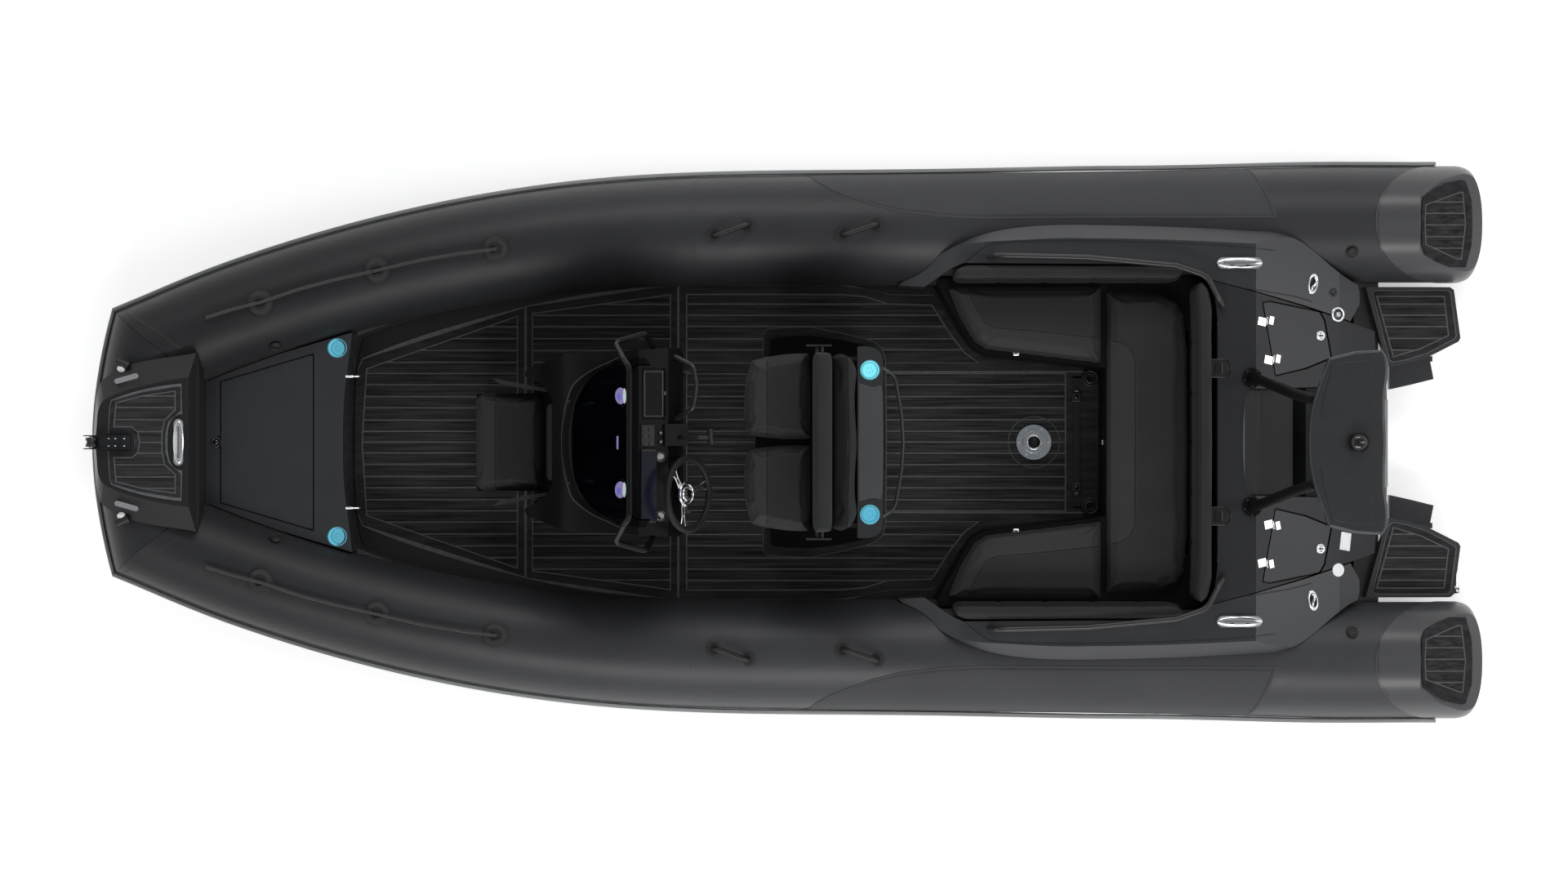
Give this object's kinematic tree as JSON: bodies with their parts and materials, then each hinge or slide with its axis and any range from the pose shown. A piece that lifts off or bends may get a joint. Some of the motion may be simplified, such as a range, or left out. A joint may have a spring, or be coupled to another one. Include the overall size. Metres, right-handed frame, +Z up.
{
  "type": "rigid inflatable boat",
  "caption": "Rigid inflatable boat with a deep-V hull, black tubes, bow platform, centre console, helm seat, aft bench, stern platforms and a light arch.",
  "frame": {"origin": "on the waterline, on the centreline, at mid-length", "axes": "+X to the bow, +Y to port, +Z up"},
  "size_m": [6.465, 2.6324, 2.187],
  "materials": {
    "hull_gelcoat": "gloss gelcoat",
    "deck_gelcoat": "satin gelcoat",
    "foam_decking": "brushed closed-cell foam",
    "tube_fabric": "coated fabric",
    "cap_shell": "satin gelcoat",
    "strake_rubber": "moulded rubber",
    "patch_rubber": "moulded rubber",
    "rope": "braided",
    "moulding": "satin gelcoat",
    "console_shell": "satin gelcoat",
    "dark_trim": "textured",
    "upholstery": "marine vinyl",
    "tinted_screen": "tinted",
    "rail_black": "powder coat",
    "stainless": "polished",
    "roller_rubber": "moulded",
    "lamp_housing": "gloss"
  },
  "bodies": {
    "boat": {"hull": "hull_gelcoat", "deck": "deck_gelcoat", "deck_pads": "foam_decking", "step_pads": "foam_decking", "bow_pad": "foam_decking", "tube_port": "tube_fabric", "tube_starboard": "tube_fabric", "tube_bow": "tube_fabric", "tube_cap_port": "cap_shell", "tube_cap_starboard": "cap_shell", "rubbing_strake": "strake_rubber", "tube_patches": "patch_rubber", "tube_handles": "patch_rubber", "lifelines": "rope", "bow_platform": "moulding", "anchor_bracket": "stainless", "cleats": "stainless", "nav_lights": "lamp_housing", "bow_locker": "moulding", "console": "console_shell", "console_backrest": "upholstery", "side_blades": "dark_trim", "windshield": "tinted_screen", "windshield_rail": "rail_black", "grab_handle": "rail_black", "throttle": "dark_trim", "helm_seat_base": "console_shell", "helm_shelf": "moulding", "helm_backrest": "upholstery", "helm_back_cover": "upholstery", "helm_rail": "stainless", "bench_base": "moulding", "backrest_port": "upholstery", "backrest_starboard": "upholstery", "backrest_aft": "upholstery", "coaming_port": "moulding", "coaming_starboard": "moulding", "side_rails": "rail_black", "stern_deck": "moulding", "splash_well": "moulding", "platform_port": "moulding", "platform_starboard": "moulding", "arch_legs": "stainless", "arch_wing": "console_shell", "anchor_light": "lamp_housing", "table_socket": "stainless", "post_sockets": "dark_trim"},
    "anchor_roller": {"anchor_roller": "roller_rubber"},
    "bow_locker_lid": {"bow_locker_lid": "moulding"},
    "console_seat": {"console_seat": "upholstery"},
    "glovebox_lid": {"glovebox_lid": "console_shell"},
    "steering_wheel": {"steering_wheel": "stainless"},
    "bolster_port": {"bolster_port": "upholstery"},
    "bolster_starboard": {"bolster_starboard": "upholstery"},
    "bench_lid_port": {"bench_lid_port": "upholstery"},
    "bench_lid_starboard": {"bench_lid_starboard": "upholstery"},
    "bench_lid_aft": {"bench_lid_aft": "upholstery"},
    "stern_lid_port": {"stern_lid_port": "moulding"},
    "stern_lid_starboard": {"stern_lid_starboard": "moulding"},
    "boarding_ladder": {"boarding_ladder": "stainless"}
  },
  "joints": [
    {"name": "anchor_roller_spin", "type": "hinge", "parent": "boat", "child": "anchor_roller", "pos_m": [3.142, 0, 0.834], "axis": [0, 1, 0], "continuous": true},
    {"name": "bow_locker_lid_hinge", "type": "hinge", "parent": "boat", "child": "bow_locker_lid", "pos_m": [2.1878, 0, 0.46], "axis": [0, -1, 0], "range_deg": [0, 85]},
    {"name": "console_seat_hinge", "type": "hinge", "parent": "boat", "child": "console_seat", "pos_m": [1.1084, 0, 0.56], "axis": [0, -1, 0], "range_deg": [0, 80]},
    {"name": "glovebox_lid_hinge", "type": "hinge", "parent": "boat", "child": "glovebox_lid", "pos_m": [0.6277, -0.2175, 1.0411], "axis": [0, 1, 0], "range_deg": [0, 80]},
    {"name": "steering_wheel_turn", "type": "hinge", "parent": "boat", "child": "steering_wheel", "pos_m": [0.43, 0.233, 0.985], "axis": [-0.8291, 0, 0.5591], "range_deg": [-720, 720]},
    {"name": "bolster_port_hinge", "type": "hinge", "parent": "boat", "child": "bolster_port", "pos_m": [-0.1217, 0.208, 0.904], "axis": [0, -1, 0], "range_deg": [0, 75]},
    {"name": "bolster_starboard_hinge", "type": "hinge", "parent": "boat", "child": "bolster_starboard", "pos_m": [-0.1217, -0.208, 0.904], "axis": [0, -1, 0], "range_deg": [0, 75]},
    {"name": "bench_lid_port_hinge", "type": "hinge", "parent": "boat", "child": "bench_lid_port", "pos_m": [-1.1, 0.729, 0.485], "axis": [-1, 0, 0], "range_deg": [0, 80]},
    {"name": "bench_lid_starboard_hinge", "type": "hinge", "parent": "boat", "child": "bench_lid_starboard", "pos_m": [-1.1, -0.729, 0.485], "axis": [1, 0, 0], "range_deg": [0, 80]},
    {"name": "bench_lid_aft_hinge", "type": "hinge", "parent": "boat", "child": "bench_lid_aft", "pos_m": [-1.886, 0, 0.485], "axis": [0, -1, 0], "range_deg": [0, 75]},
    {"name": "stern_lid_port_hinge", "type": "hinge", "parent": "boat", "child": "stern_lid_port", "pos_m": [-2.23425, 0.4747, 0.6039], "axis": [0.1804, 0.9805, 0.0777], "range_deg": [0, 85]},
    {"name": "stern_lid_starboard_hinge", "type": "hinge", "parent": "boat", "child": "stern_lid_starboard", "pos_m": [-2.23425, -0.4747, 0.6039], "axis": [-0.1804, 0.9805, -0.0777], "range_deg": [0, 85]},
    {"name": "boarding_ladder_hinge", "type": "hinge", "parent": "boat", "child": "boarding_ladder", "pos_m": [-3.178, 0.612, 0.168], "axis": [0, 1, 0], "range_deg": [0, 100]}
  ]
}
